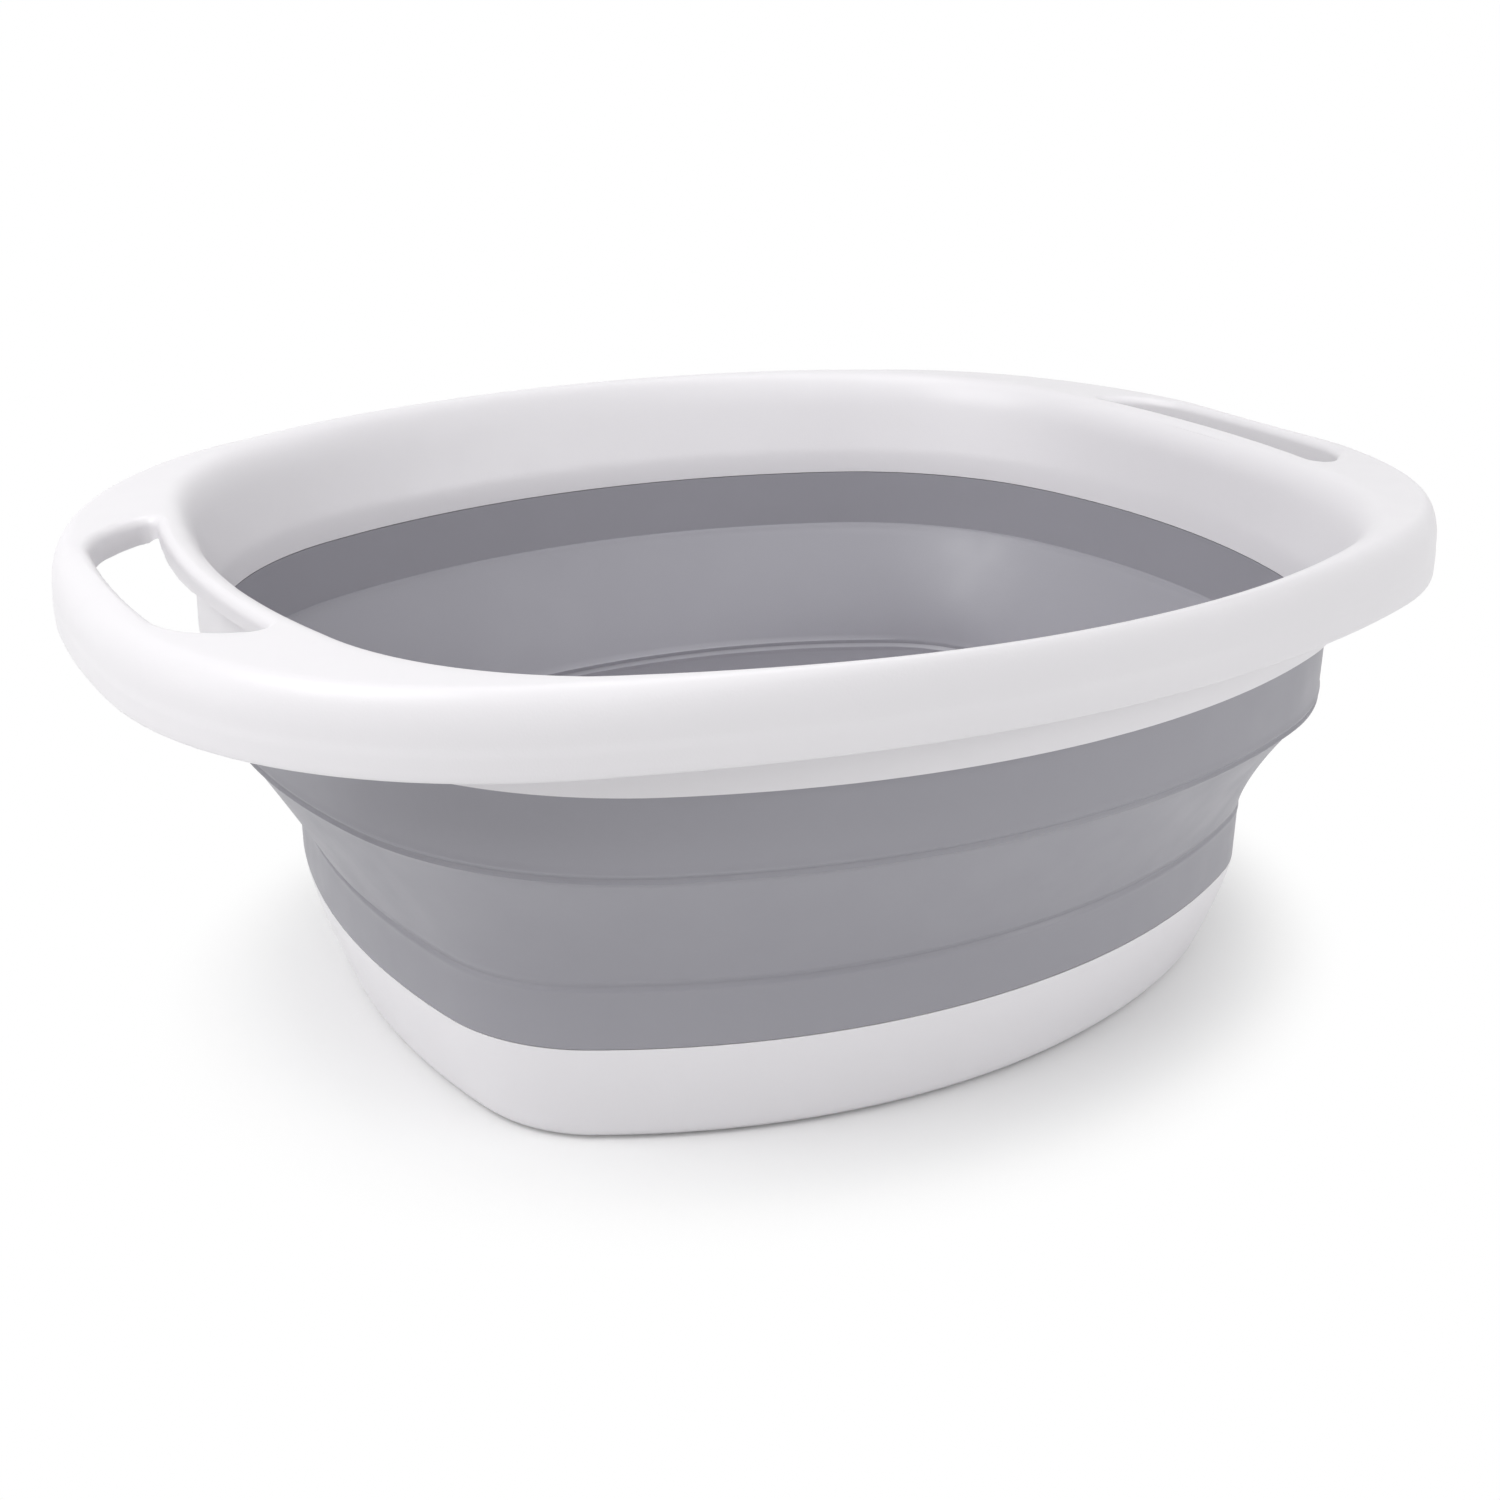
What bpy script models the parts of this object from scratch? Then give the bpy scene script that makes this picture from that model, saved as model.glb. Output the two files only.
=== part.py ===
"""Collapsible pet bathtub: a white rim frame with two handle slots, a grey soft wall in three bands
that fold into each other, a white base tray with a drain plug, and four anti-slip feet.
Metres, +Z up. The origin is on the floor under the middle of the tub, and +X runs along its length."""

import math
from collections import namedtuple

import bmesh
import bpy
from mathutils import Matrix, Vector

# Heights, from the floor up: the middle band takes what the others leave
TUB_HEIGHT = 0.1899
FOOT_PROUD = 0.0012
TRAY_HEIGHT = 0.0423
LOWER_BAND_HEIGHT = 0.0223
UPPER_BAND_HEIGHT = 0.0286
COLLAR_HEIGHT = 0.0427
SKIRT_DEPTH = 0.0266

# Plans at four levels, from the skirt of the rim inwards
TUB_LENGTH = 0.5200
TUB_WIDTH = 0.3984
RIM_SIDE_RADIUS = 0.4391
RIM_END_RADIUS = 0.4436
RIM_CORNER_RADIUS = 0.1539
HANDLE_REACH = 0.0472
SIDE_OVERHANG = 0.0042
CREST_SIDE_RADIUS = 0.3175
CREST_END_RADIUS = 0.3709
CREST_CORNER_RADIUS = 0.1129
COLLAR_SIDE_LEAN = 0.0094
COLLAR_SIDE_RADIUS = 0.3278
COLLAR_END_RADIUS = 0.2694
COLLAR_CORNER_RADIUS = 0.1279
TRAY_FROM_END = 0.0334
TRAY_FROM_SIDE = 0.0305
TRAY_SIDE_RADIUS = 0.2827
TRAY_END_RADIUS = 0.3155
TRAY_CORNER_RADIUS = 0.0660

# Walls, and the shape of the soft wall and the tray
PLASTIC_WALL = 0.0025
SOFT_WALL = 0.0028
FIT_GAP = 0.0003
COLLAR_STEP = 0.0040
SHOULDER_INSET = 0.0010
SHOULDER_DEPTH = 0.0040
MIDDLE_BAND_BEND = 1.3
TRAY_TAPER = 0.0129
TRAY_BEND = 1.3
TRAY_EDGE = 0.0015
NEST_DEPTH = 0.0015
UPPER_LAP_DEPTH = 0.0032
LOWER_LAP_DEPTH = 0.0040

# Rim section, handles and floor
ROLL_WIDTH = 0.0060
ROLL_SHARE = 0.8
ROLL_DEPTH = 0.0150
LIP_WIDTH = 0.0060
LIP_DEPTH = 0.0150
HANDLE_DROOP = 0.0042
DROOP_START = 0.0870
GRIP_WIDTH = 0.0140
BAR_WIDTH = 0.0086
SLOT_INNER_LENGTH = 0.1400
SLOT_OUTER_LENGTH = 0.1040
SLOT_INNER_ROUND = 0.0060
SLOT_OUTER_ROUND = 0.0120
SLEEVE_DEPTH = 0.0080
FLOOR_THICKNESS = 0.0030
FLOOR_ROUND = 0.0080

# Drain plug and feet
DRAIN_DIAMETER = 0.0340
DRAIN_FROM_END = 0.0770
PLUG_FLANGE_LAP = 0.0050
PLUG_FLANGE_THICKNESS = 0.0022
PLUG_SKIN = 0.0030
PULL_RADIUS = 0.0085
PULL_THICKNESS = 0.0040
FOOT_LENGTH = 0.0460
FOOT_WIDTH = 0.0160
FOOT_SUNK = 0.0012
FOOT_END_SHARE = 0.49
FOOT_FROM_END = 0.0720
FOOT_FROM_SIDE = 0.0500

# Facets of the curves
END_STEPS = 4
CORNER_STEPS = 8
SIDE_STEPS = 6
ROUND_STEPS = 3
BEND_STEPS = 5
TURN_STEPS = 32
PULL_STEPS = 10
PULL_SIDES = 8
SMOOTH_ANGLE = math.radians(35)
WELD = 0.00001

WHITE_PLASTIC = ("white_plastic", (0.84, 0.84, 0.85, 1.0), 0.35)
GREY_SOFT = ("grey_soft_plastic", (0.29, 0.295, 0.32, 1.0), 0.50)

Plan = namedtuple("Plan", "half_length half_width side_radius end_radius corner_radius")

RIM = Plan(TUB_LENGTH / 2, TUB_WIDTH / 2, RIM_SIDE_RADIUS, RIM_END_RADIUS, RIM_CORNER_RADIUS)
CREST = Plan(
    RIM.half_length - HANDLE_REACH,
    RIM.half_width - SIDE_OVERHANG,
    CREST_SIDE_RADIUS,
    CREST_END_RADIUS,
    CREST_CORNER_RADIUS,
)
COLLAR = Plan(
    CREST.half_length,
    CREST.half_width - COLLAR_SIDE_LEAN,
    COLLAR_SIDE_RADIUS,
    COLLAR_END_RADIUS,
    COLLAR_CORNER_RADIUS,
)
TRAY = Plan(
    COLLAR.half_length - TRAY_FROM_END,
    COLLAR.half_width - TRAY_FROM_SIDE,
    TRAY_SIDE_RADIUS,
    TRAY_END_RADIUS,
    TRAY_CORNER_RADIUS,
)

TRAY_TOP = FOOT_PROUD + TRAY_HEIGHT
LOWER_FOLD = TRAY_TOP + LOWER_BAND_HEIGHT
RIM_TOP = TUB_HEIGHT
COLLAR_BOTTOM = RIM_TOP - COLLAR_HEIGHT
UPPER_FOLD = COLLAR_BOTTOM - UPPER_BAND_HEIGHT
MIDDLE_BAND_HEIGHT = UPPER_FOLD - LOWER_FOLD
FLOOR_TOP = FOOT_PROUD + FLOOR_THICKNESS

# The middle band hangs inside the upper one and outside the lower one, with the fit gap between walls
MIDDLE_TOP_INSET = COLLAR_STEP + SHOULDER_INSET + SOFT_WALL + FIT_GAP
MIDDLE_FOOT_INSET = -SOFT_WALL - FIT_GAP

DRAIN_X = TRAY.half_length - TRAY_TAPER - DRAIN_FROM_END
FOOT_X = TRAY.half_length - TRAY_TAPER - FOOT_FROM_END
FOOT_Y = TRAY.half_width - TRAY_TAPER - FOOT_FROM_SIDE


def clear_scene():
    for obj in list(bpy.data.objects):
        bpy.data.objects.remove(obj, do_unlink=True)


def new_collection(name):
    found = bpy.data.collections.new(name)
    bpy.context.scene.collection.children.link(found)
    return found


def new_material(name, colour, roughness):
    made = bpy.data.materials.new(name)
    made.use_nodes = True
    shader = made.node_tree.nodes["Principled BSDF"]
    shader.inputs["Base Color"].default_value = colour
    shader.inputs["Roughness"].default_value = roughness
    shader.inputs["Metallic"].default_value = 0.0
    return made


def new_part(name, bm, look, location=(0, 0, 0)):
    mesh = bpy.data.meshes.new(name)
    bmesh.ops.recalc_face_normals(bm, faces=bm.faces)
    bm.to_mesh(mesh)
    bm.free()
    mesh.shade_smooth()
    mesh.set_sharp_from_angle(angle=SMOOTH_ANGLE)
    mesh.materials.append(new_material(f"{name}_{look[0]}", look[1], look[2]))
    obj = bpy.data.objects.new(name, mesh)
    obj.location = location
    parts.objects.link(obj)
    return obj


def new_cutter(name, bm, location=(0, 0, 0)):
    mesh = bpy.data.meshes.new(name)
    bmesh.ops.recalc_face_normals(bm, faces=bm.faces)
    bm.to_mesh(mesh)
    bm.free()
    obj = bpy.data.objects.new(name, mesh)
    obj.location = location
    obj.hide_render = True
    obj.display_type = "WIRE"
    cutters.objects.link(obj)
    return obj


def combine(obj, other, operation):
    boolean = obj.modifiers.new(f"{operation.lower()}_{other.name}", "BOOLEAN")
    boolean.object = other
    boolean.operation = operation
    boolean.solver = "EXACT"


def carry(name, location, children):
    empty = bpy.data.objects.new(name, None)
    empty.location = location
    parts.objects.link(empty)
    for child in children:
        child.parent = empty
        child.matrix_parent_inverse = Matrix.Translation(location).inverted()


def corner_centre(plan):
    """Centre of the corner arc that touches both the side arc and the end arc."""
    side_centre = Vector((0, plan.half_width - plan.side_radius))
    end_centre = Vector((plan.half_length - plan.end_radius, 0))
    side_reach = plan.side_radius - plan.corner_radius
    end_reach = plan.end_radius - plan.corner_radius
    apart = end_centre - side_centre
    span = apart.length
    along = (side_reach**2 - end_reach**2 + span**2) / (2 * span)
    across = math.sqrt(side_reach**2 - along**2)
    direction = apart / span
    outward = Vector((direction.y, -direction.x))
    if outward.x + outward.y < 0:
        outward.negate()
    return side_centre + direction * along + outward * across


def arc(centre, radius, start, end, steps):
    turns = [start + (end - start) * i / steps for i in range(steps)]
    return [centre + radius * Vector((math.cos(t), math.sin(t))) for t in turns]


def outline(plan, inset=0.0):
    """Points round an eight-arc oval that lies inset inside the plan, from +X turning left."""
    plan = Plan(*(size - inset for size in plan))
    side_centre = Vector((0, plan.half_width - plan.side_radius))
    end_centre = Vector((plan.half_length - plan.end_radius, 0))
    corner = corner_centre(plan)
    low = math.atan2(*(corner - end_centre).yx)
    high = math.atan2(*(corner - side_centre).yx)
    quarter = arc(end_centre, plan.end_radius, 0, low, END_STEPS)
    quarter += arc(corner, plan.corner_radius, low, high, CORNER_STEPS)
    quarter += arc(side_centre, plan.side_radius, high, math.pi / 2, SIDE_STEPS)
    quarter.append(Vector((0, plan.half_width)))
    half = quarter + [Vector((-p.x, p.y)) for p in reversed(quarter[:-1])]
    return half + [Vector((p.x, -p.y)) for p in reversed(half[1:-1])]


def droop(x):
    """How far the rim falls away towards its two handles."""
    share = max(0.0, (abs(x) - DROOP_START) / (RIM.half_length - DROOP_START))
    return HANDLE_DROOP * share**2


def level(plan, inset, height):
    return [Vector((p.x, p.y, height)) for p in outline(plan, inset)]


def rim_level(plan, inset, height):
    return [Vector((p.x, p.y, height - droop(p.x))) for p in outline(plan, inset)]


def between(first, second, share):
    return [a.lerp(b, share) for a, b in zip(first, second)]


def lowered(loop, depth):
    return [point - Vector((0, 0, depth)) for point in loop]


def drawn_in(outer, inner):
    """The outer loop moved towards the inner one by the roll's width, or less where they lie close."""
    shares = [min(ROLL_SHARE, ROLL_WIDTH / (a - b).length) for a, b in zip(outer, inner)]
    return [a.lerp(b, share) for a, b, share in zip(outer, inner, shares)]


def quarter_round(width, depth):
    """(across, up) pairs of a quarter ellipse, from its side to its top."""
    turns = [math.pi / 2 * i / ROUND_STEPS for i in range(ROUND_STEPS + 1)]
    return [(width * math.cos(t), depth * math.sin(t)) for t in turns]


def loft(loops, closed):
    """A skin through loops of equal count: a ring where closed, or else capped at both ends."""
    bm = bmesh.new()
    rings = [[bm.verts.new(point) for point in loop] for loop in loops]
    pairs = list(zip(rings, rings[1:]))
    if closed:
        pairs.append((rings[-1], rings[0]))
    else:
        bm.faces.new(rings[0])
        bm.faces.new(rings[-1])
    for lower, upper in pairs:
        for i in range(len(lower)):
            j = (i + 1) % len(lower)
            bm.faces.new((lower[i], lower[j], upper[j], upper[i]))
    return bm


def end_arc(plan, inset, length, steps):
    """Points across one end of the plan, from -Y to +Y, over the given length."""
    radius = plan.end_radius - inset
    centre = Vector((plan.half_length - plan.end_radius, 0))
    reach = math.asin(length / 2 / radius)
    return arc(centre, radius, -reach, reach, steps) + [
        centre + radius * Vector((math.cos(reach), math.sin(reach)))
    ]


def slot_block(margin, top, bottom, side):
    """The handle slot's plan grown by a margin, as a block between two depths below the rim."""
    outer = end_arc(RIM, GRIP_WIDTH - margin, SLOT_OUTER_LENGTH + 2 * margin, END_STEPS)
    inner = end_arc(CREST, margin - BAR_WIDTH, SLOT_INNER_LENGTH + 2 * margin, END_STEPS)
    plan = outer + list(reversed(inner))
    loops = []
    for depth in (bottom, top):
        loops.append([Vector((side * p.x, p.y, RIM_TOP - depth - droop(p.x))) for p in plan])
    bm = loft(loops, closed=False)
    bmesh.ops.recalc_face_normals(bm, faces=bm.faces)
    outer_ends = (0, END_STEPS)
    inner_ends = (END_STEPS + 1, 2 * END_STEPS + 1)
    for ends, radius in ((outer_ends, SLOT_OUTER_ROUND), (inner_ends, SLOT_INNER_ROUND)):
        corners = [(plan[i].x * side, plan[i].y) for i in ends]
        edges = [e for e in bm.edges if is_upright_at(e, corners)]
        bmesh.ops.bevel(
            bm, geom=edges, offset=radius + margin, segments=ROUND_STEPS, profile=0.5, affect="EDGES"
        )
    return bm


def is_upright_at(edge, corners):
    first, second = (v.co for v in edge.verts)
    upright = (first.xy - second.xy).length < FIT_GAP
    return upright and any((first.xy - Vector(c)).length < FIT_GAP for c in corners)


def make_rim_frame():
    """The moulded rim: collar, rounded lip, flange, skirt and two handle slots with return walls."""
    lip = quarter_round(LIP_WIDTH, LIP_DEPTH)
    roll = quarter_round(1, ROLL_DEPTH)
    half_turn = math.sqrt(0.5)
    crest = rim_level(CREST, 0, RIM_TOP)
    rim = rim_level(RIM, 0, RIM_TOP)
    flange = drawn_in(rim, crest)
    inner_rim = rim_level(RIM, PLASTIC_WALL, RIM_TOP)
    inner_flange = drawn_in(inner_rim, crest)
    wall_inner = COLLAR_STEP + SOFT_WALL
    groove_inner = wall_inner - (SOFT_WALL - FIT_GAP) / 2
    groove_outer = COLLAR_STEP - FIT_GAP
    groove_top = COLLAR_BOTTOM + UPPER_LAP_DEPTH
    loops = [level(COLLAR, wall_inner, COLLAR_BOTTOM + FIT_GAP)]
    loops.append(level(COLLAR, wall_inner, groove_top + PLASTIC_WALL))
    loops += [rim_level(CREST, across, RIM_TOP - LIP_DEPTH + up) for across, up in lip]
    loops += [lowered(between(flange, rim, across), ROLL_DEPTH - up) for across, up in reversed(roll)]
    loops += [lowered(rim, SKIRT_DEPTH), lowered(inner_rim, SKIRT_DEPTH), lowered(inner_rim, ROLL_DEPTH)]
    bend_depth = PLASTIC_WALL + (ROLL_DEPTH - PLASTIC_WALL) * (1 - half_turn)
    loops.append(lowered(between(inner_flange, inner_rim, half_turn), bend_depth))
    loops += [lowered(inner_flange, PLASTIC_WALL), lowered(crest, PLASTIC_WALL)]
    loops.append(rim_level(CREST, LIP_WIDTH - PLASTIC_WALL, RIM_TOP - LIP_DEPTH))
    loops += [level(COLLAR, 0, COLLAR_BOTTOM), level(COLLAR, groove_outer, COLLAR_BOTTOM)]
    loops += [level(COLLAR, groove_outer, groove_top), level(COLLAR, groove_inner, groove_top)]
    loops.append(level(COLLAR, groove_inner, COLLAR_BOTTOM + FIT_GAP))
    frame = new_part("rim_frame", loft(loops, closed=True), WHITE_PLASTIC)
    for side, word in ((-1, "left"), (1, "right")):
        sleeve = slot_block(PLASTIC_WALL, PLASTIC_WALL / 2, SLEEVE_DEPTH, side)
        combine(frame, new_cutter(f"{word}_sleeve", sleeve), "UNION")
        hole = slot_block(0, -SLEEVE_DEPTH, 2 * SLEEVE_DEPTH, side)
        combine(frame, new_cutter(f"{word}_slot", hole), "DIFFERENCE")
    return frame


def make_upper_band():
    """The soft band under the rim: a tongue in the collar's groove, and a foot that curls in."""
    tongue_top = COLLAR_BOTTOM + UPPER_LAP_DEPTH - FIT_GAP
    tongue_inset = COLLAR_STEP + (SOFT_WALL - FIT_GAP) / 2
    fold_inset = COLLAR_STEP + SHOULDER_INSET
    curl = quarter_round(SHOULDER_INSET, SHOULDER_DEPTH)
    outer = [(fold_inset - across, UPPER_FOLD + SHOULDER_DEPTH - up) for across, up in curl]
    inner = [(inset + SOFT_WALL, height) for inset, height in reversed(outer)]
    section = [(COLLAR_STEP, tongue_top)] + outer + inner
    section.append((COLLAR_STEP + SOFT_WALL, COLLAR_BOTTOM))
    section += [(tongue_inset, COLLAR_BOTTOM), (tongue_inset, tongue_top)]
    loops = [level(COLLAR, inset, height) for inset, height in section]
    return new_part("upper_wall_band", loft(loops, closed=True), GREY_SOFT)


def make_middle_band():
    """The sloping soft band that turns over when the tub is pressed flat."""
    outer = [middle_level(0, 1, NEST_DEPTH)]
    outer += [middle_level(0, 1 - i / BEND_STEPS, 0) for i in range(BEND_STEPS + 1)]
    outer.append(middle_level(0, 0, -NEST_DEPTH))
    inner = [middle_level(SOFT_WALL, 0, -NEST_DEPTH)]
    inner += [middle_level(SOFT_WALL, i / BEND_STEPS, 0) for i in range(BEND_STEPS + 1)]
    inner.append(middle_level(SOFT_WALL, 1, NEST_DEPTH))
    return new_part("middle_wall_band", loft(outer + inner, closed=True), GREY_SOFT)


def middle_level(inset, share, raised):
    """A loop of the sloping band at a share of its height, from the tray's plan up to the collar's."""
    height = LOWER_FOLD + MIDDLE_BAND_HEIGHT * share + raised
    foot = level(TRAY, MIDDLE_FOOT_INSET + inset, height)
    top = level(COLLAR, MIDDLE_TOP_INSET + inset, height)
    return between(foot, top, share**MIDDLE_BAND_BEND)


def make_lower_band():
    """The soft band above the tray: it laps the tray's upstand outside."""
    bottom = TRAY_TOP + FIT_GAP
    lap_inset = (SOFT_WALL - FIT_GAP) / 2
    lap_top = TRAY_TOP + LOWER_LAP_DEPTH + FIT_GAP
    section = [(0, LOWER_FOLD), (0, bottom), (lap_inset, bottom), (lap_inset, lap_top)]
    section += [(SOFT_WALL, lap_top), (SOFT_WALL, LOWER_FOLD)]
    loops = [level(TRAY, inset, height) for inset, height in section]
    return new_part("lower_wall_band", loft(loops, closed=True), GREY_SOFT)


def foot_block(length, width, height):
    """A pad with half-round ends, standing on its origin."""
    bm = bmesh.new()
    bmesh.ops.create_cube(bm, size=1.0)
    bmesh.ops.translate(bm, verts=bm.verts, vec=(0, 0, 0.5))
    bmesh.ops.scale(bm, verts=bm.verts, vec=(length, width, height))
    upright = [e for e in bm.edges if abs(e.verts[0].co.z - e.verts[1].co.z) > height / 2]
    bmesh.ops.bevel(
        bm, geom=upright, offset=FOOT_END_SHARE * width, segments=ROUND_STEPS, profile=0.5, affect="EDGES"
    )
    return bm


def make_base_tray():
    """The moulded tray: tapering wall, flat floor, drain hole and four pockets for the feet."""
    outer = []
    for share in (i / BEND_STEPS for i in range(BEND_STEPS)):
        outer.append((TRAY_TAPER * share**TRAY_BEND, TRAY_TOP - TRAY_HEIGHT * share))
    upstand = (SOFT_WALL + FIT_GAP) / 2
    lap_top = TRAY_TOP + LOWER_LAP_DEPTH
    section = [(TRAY_TAPER, FOOT_PROUD), (TRAY_TAPER - TRAY_EDGE, FOOT_PROUD + TRAY_EDGE)]
    section += reversed(outer)
    section += [(upstand, TRAY_TOP), (upstand, lap_top), (SOFT_WALL, lap_top)]
    section += [(inset + PLASTIC_WALL, height) for inset, height in outer[1:]]
    section.append((TRAY_TAPER + FLOOR_ROUND, FLOOR_TOP))
    loops = [level(TRAY, inset, height) for inset, height in section]
    tray = new_part("base_tray", loft(loops, closed=False), WHITE_PLASTIC)
    bm = bmesh.new()
    bmesh.ops.create_cone(
        bm,
        cap_ends=True,
        segments=TURN_STEPS,
        radius1=DRAIN_DIAMETER / 2,
        radius2=DRAIN_DIAMETER / 2,
        depth=4 * FLOOR_THICKNESS,
    )
    combine(tray, new_cutter("drain_hole", bm, (DRAIN_X, 0, FLOOR_TOP)), "DIFFERENCE")
    for word, place in foot_places():
        pocket = foot_block(
            FOOT_LENGTH + 2 * FIT_GAP, FOOT_WIDTH + 2 * FIT_GAP, FOOT_PROUD + FOOT_SUNK + FIT_GAP
        )
        combine(tray, new_cutter(f"{word}_pocket", pocket, place), "DIFFERENCE")
    return tray


def foot_places():
    for side, end in (("front", -1), ("rear", 1)):
        for hand, sign in (("left", -1), ("right", 1)):
            yield f"{side}_{hand}", (sign * FOOT_X, end * FOOT_Y, 0)


def make_feet():
    for word, place in foot_places():
        new_part(
            f"{word}_foot", foot_block(FOOT_LENGTH, FOOT_WIDTH, FOOT_PROUD + FOOT_SUNK), GREY_SOFT, place
        )


def make_drain_plug():
    """A push-in plug with a wide flange, a hollow stem and a half-ring to pull it by."""
    stem = DRAIN_DIAMETER / 2 - FIT_GAP
    flange = DRAIN_DIAMETER / 2 + PLUG_FLANGE_LAP
    seat = FLOOR_TOP + FIT_GAP
    flange_top = seat + PLUG_FLANGE_THICKNESS
    stem_bottom = FOOT_PROUD + FIT_GAP
    profile = [
        (0, flange_top),
        (flange - PLUG_FLANGE_THICKNESS / 2, flange_top),
        (flange, flange_top - PLUG_FLANGE_THICKNESS / 2),
        (flange, seat),
        (stem, seat),
        (stem, stem_bottom),
        (stem - PLUG_SKIN, stem_bottom),
        (stem - PLUG_SKIN, seat),
        (0, seat),
    ]
    bm = bmesh.new()
    points = [bm.verts.new((radius, 0, height)) for radius, height in profile]
    edges = [bm.edges.new(pair) for pair in zip(points, points[1:])]
    bmesh.ops.spin(
        bm,
        geom=points + edges,
        axis=(0, 0, 1),
        cent=(0, 0, 0),
        angle=math.tau,
        steps=TURN_STEPS,
        use_merge=True,
    )
    bmesh.ops.remove_doubles(bm, verts=bm.verts, dist=WELD)
    plug = new_part("drain_plug", bm, GREY_SOFT, (DRAIN_X, 0, 0))
    combine(plug, new_cutter("plug_pull", pull_ring(flange_top), (DRAIN_X, 0, 0)), "UNION")
    return plug


def pull_ring(foot):
    """Half a ring standing on the plug, sunk into it by half the flange."""
    bm = bmesh.new()
    bmesh.ops.create_circle(bm, segments=PULL_SIDES, radius=PULL_THICKNESS / 2)
    bmesh.ops.translate(bm, verts=bm.verts, vec=(PULL_RADIUS, 0, 0))
    bmesh.ops.spin(
        bm,
        geom=bm.verts[:] + bm.edges[:],
        axis=(0, 1, 0),
        cent=(0, 0, 0),
        angle=-math.pi,
        steps=PULL_STEPS,
    )
    bmesh.ops.holes_fill(bm, edges=bm.edges, sides=0)
    ends = [face for face in bm.faces if len(face.verts) == PULL_SIDES]
    for vert in {vert for face in ends for vert in face.verts}:
        vert.co.z -= PLUG_FLANGE_THICKNESS / 2
    bmesh.ops.translate(bm, verts=bm.verts, vec=(0, 0, foot))
    return bm


clear_scene()
parts = new_collection("pet_bathtub")
cutters = new_collection("cutters")
rim_frame = make_rim_frame()
upper_band = make_upper_band()
middle_band = make_middle_band()
make_lower_band()
make_base_tray()
make_feet()
drain_plug = make_drain_plug()
carry("rim_slide_axis", (0, 0, UPPER_FOLD), [rim_frame, upper_band])
carry("fold_slide_axis", (0, 0, LOWER_FOLD), [middle_band])
carry("plug_slide_axis", (DRAIN_X, 0, FLOOR_TOP), [drain_plug])
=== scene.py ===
import math

import bmesh
import bpy
from mathutils import Matrix, Vector
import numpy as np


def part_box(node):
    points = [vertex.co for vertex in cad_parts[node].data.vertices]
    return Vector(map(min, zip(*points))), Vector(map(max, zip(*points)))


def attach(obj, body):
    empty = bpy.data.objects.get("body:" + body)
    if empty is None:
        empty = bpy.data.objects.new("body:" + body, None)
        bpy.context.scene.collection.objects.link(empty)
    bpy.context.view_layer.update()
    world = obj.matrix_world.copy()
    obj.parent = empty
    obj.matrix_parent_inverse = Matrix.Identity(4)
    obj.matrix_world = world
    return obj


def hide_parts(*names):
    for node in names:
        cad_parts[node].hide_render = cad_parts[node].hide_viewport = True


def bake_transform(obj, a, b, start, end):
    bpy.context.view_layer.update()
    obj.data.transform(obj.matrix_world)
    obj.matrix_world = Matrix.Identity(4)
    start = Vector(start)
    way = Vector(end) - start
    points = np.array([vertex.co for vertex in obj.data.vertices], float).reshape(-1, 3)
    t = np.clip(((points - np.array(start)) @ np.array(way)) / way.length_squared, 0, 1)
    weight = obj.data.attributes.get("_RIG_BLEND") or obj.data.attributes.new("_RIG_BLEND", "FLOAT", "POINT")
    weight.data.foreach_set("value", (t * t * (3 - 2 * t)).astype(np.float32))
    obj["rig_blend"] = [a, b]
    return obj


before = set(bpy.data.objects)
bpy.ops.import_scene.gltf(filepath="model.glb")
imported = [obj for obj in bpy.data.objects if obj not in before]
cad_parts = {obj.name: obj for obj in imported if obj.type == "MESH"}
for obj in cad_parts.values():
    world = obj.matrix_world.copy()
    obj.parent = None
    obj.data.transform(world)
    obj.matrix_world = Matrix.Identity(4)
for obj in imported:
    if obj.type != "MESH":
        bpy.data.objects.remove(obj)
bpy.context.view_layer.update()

# Base tray: the flat-floored pan that the tub stands on, moulded from white polypropylene.
# Its upstand is moulded into the foot of the soft wall, so the two are flush at that line.
POINTS_ROUND = 208
FLOOR_TOP = 0.0042
TRAY_FOOT = 0.0012
TRAY_TOP = 0.0435
TRAY_PLAN = (0.1794, 0.1551, 0.2827, 0.3155, 0.0660)
TRAY_TAPER = 0.0129
TRAY_BEND = 1.3
TRAY_WALL = 0.0025
TRAY_HEEL = 0.0030
LAP_DEPTH = 0.0040
LAP_INSET = 0.00155
SIDE_STEPS = 14
HEEL_STEP = 12
COVE_STEP = 9
SOFT_WALL = 0.0028
DRAIN_PLACE = Vector((0.0895, 0, 0))
DRAIN_RADIUS = 0.0170
DRAIN_CUT = 0.0200
CREASE_ANGLE = math.radians(40)
# The tray is the same white plastic as the rim, but its colour is painted lighter to stand in for light
# bounced up onto it from the floor: painted bounce light.
TRAY_WHITE_PAINTED_LIGHTER = (0.790, 0.775, 0.799, 1.0)


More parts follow.
